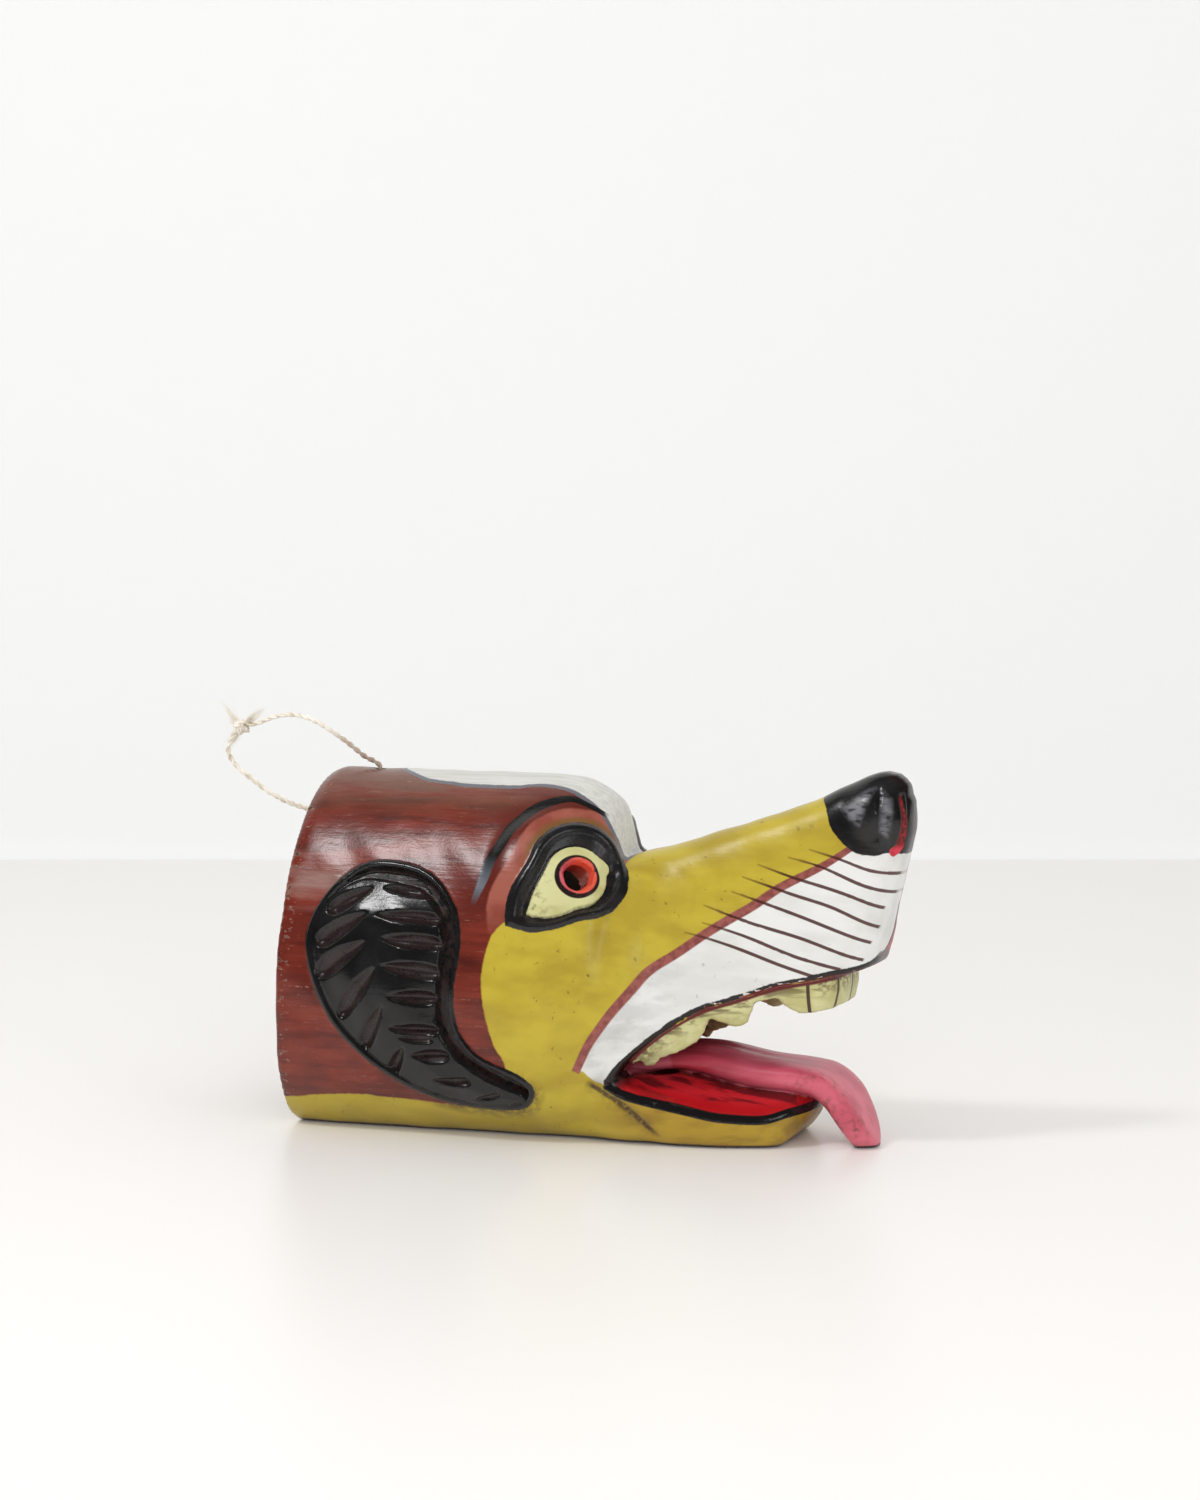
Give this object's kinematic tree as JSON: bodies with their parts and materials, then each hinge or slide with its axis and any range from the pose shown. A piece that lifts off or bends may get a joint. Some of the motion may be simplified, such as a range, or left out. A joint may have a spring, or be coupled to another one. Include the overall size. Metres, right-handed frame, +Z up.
{
  "type": "wooden dog mask",
  "caption": "Carved and painted wooden dog head mask, hollow behind, with an open toothed mouth, a hanging tongue and a twine loop.",
  "frame": {"origin": "middle of the mask's box, on the flat underside that it stands on", "axes": "+X the way the dog looks, +Y to the dog's left, +Z up"},
  "size_m": [0.3608, 0.145, 0.1983],
  "materials": {
    "painted_wood": "hand-brushed satin enamel on carved softwood, in brown-red, yellow, white, black and red",
    "twine": "undyed two-ply plant-fibre twine"
  },
  "bodies": {
    "root": {"mask": "painted_wood", "twine_upper": "twine", "twine_lower": "twine", "twine_knot": "twine"}
  },
  "joints": []
}
